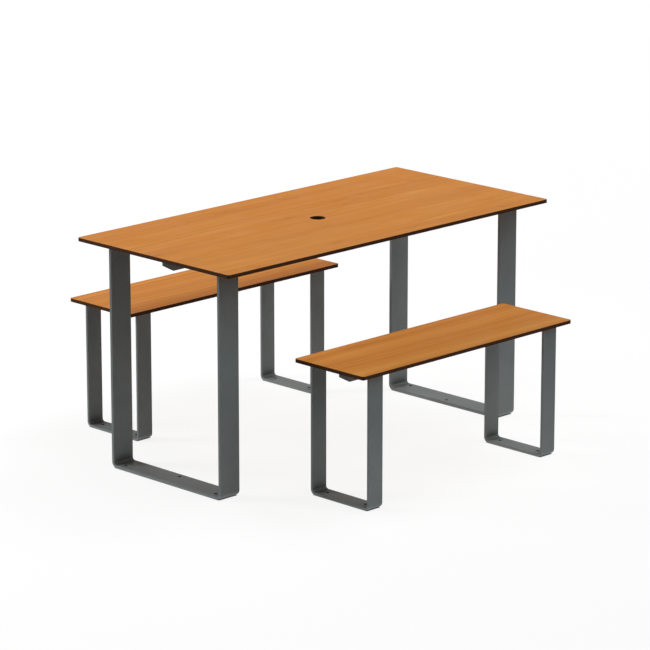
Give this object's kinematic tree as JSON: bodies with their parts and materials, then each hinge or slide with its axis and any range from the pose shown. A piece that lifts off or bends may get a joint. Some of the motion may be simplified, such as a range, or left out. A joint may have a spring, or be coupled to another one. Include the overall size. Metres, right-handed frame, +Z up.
{
  "type": "table with benches",
  "caption": "Rectangular canteen table with two loose benches: wood-decor laminate boards on closed dark grey flat-bar hoops, with a parasol hole in the table top.",
  "frame": {"origin": "on the floor under the middle of the table top", "axes": "+X along the table and the benches, +Y from the front bench to the back bench, +Z up"},
  "size_m": [1.436, 1.336, 0.74],
  "materials": {
    "table_laminate": "satin wood-decor compact laminate, dark brown core at the edges",
    "seat_laminate": "satin wood-decor compact laminate, dark brown core at the edges",
    "frame_coat": "satin dark grey powder coat with a fine orange peel",
    "screw_zinc": "bright zinc-plated steel",
    "insert_brass": "turned brass"
  },
  "bodies": {
    "table": {"table_top": "table_laminate", "table_hoop_left": "frame_coat", "table_hoop_right": "frame_coat", "table_top_bar_left": "frame_coat", "table_top_bar_right": "frame_coat", "table_rail_left": "frame_coat", "table_rail_right": "frame_coat", "parasol_collar": "frame_coat", "table_inserts": "insert_brass", "table_washers": "screw_zinc", "table_screws": "screw_zinc"},
    "front_bench": {"front_bench_seat": "seat_laminate", "front_bench_hoop_left": "frame_coat", "front_bench_hoop_right": "frame_coat", "front_bench_top_bar_left": "frame_coat", "front_bench_top_bar_right": "frame_coat", "front_bench_rail": "frame_coat", "front_bench_inserts": "insert_brass", "front_bench_washers": "screw_zinc", "front_bench_screws": "screw_zinc"},
    "back_bench": {"back_bench_seat": "seat_laminate", "back_bench_hoop_left": "frame_coat", "back_bench_hoop_right": "frame_coat", "back_bench_top_bar_left": "frame_coat", "back_bench_top_bar_right": "frame_coat", "back_bench_rail": "frame_coat", "back_bench_inserts": "insert_brass", "back_bench_washers": "screw_zinc", "back_bench_screws": "screw_zinc"}
  },
  "joints": [
    {"name": "front_bench_slide", "type": "slide", "parent": "table", "child": "front_bench", "axis": [0, -1, 0], "range_m": [-0.37, 0.3]},
    {"name": "back_bench_slide", "type": "slide", "parent": "table", "child": "back_bench", "axis": [0, 1, 0], "range_m": [-0.37, 0.3]}
  ]
}
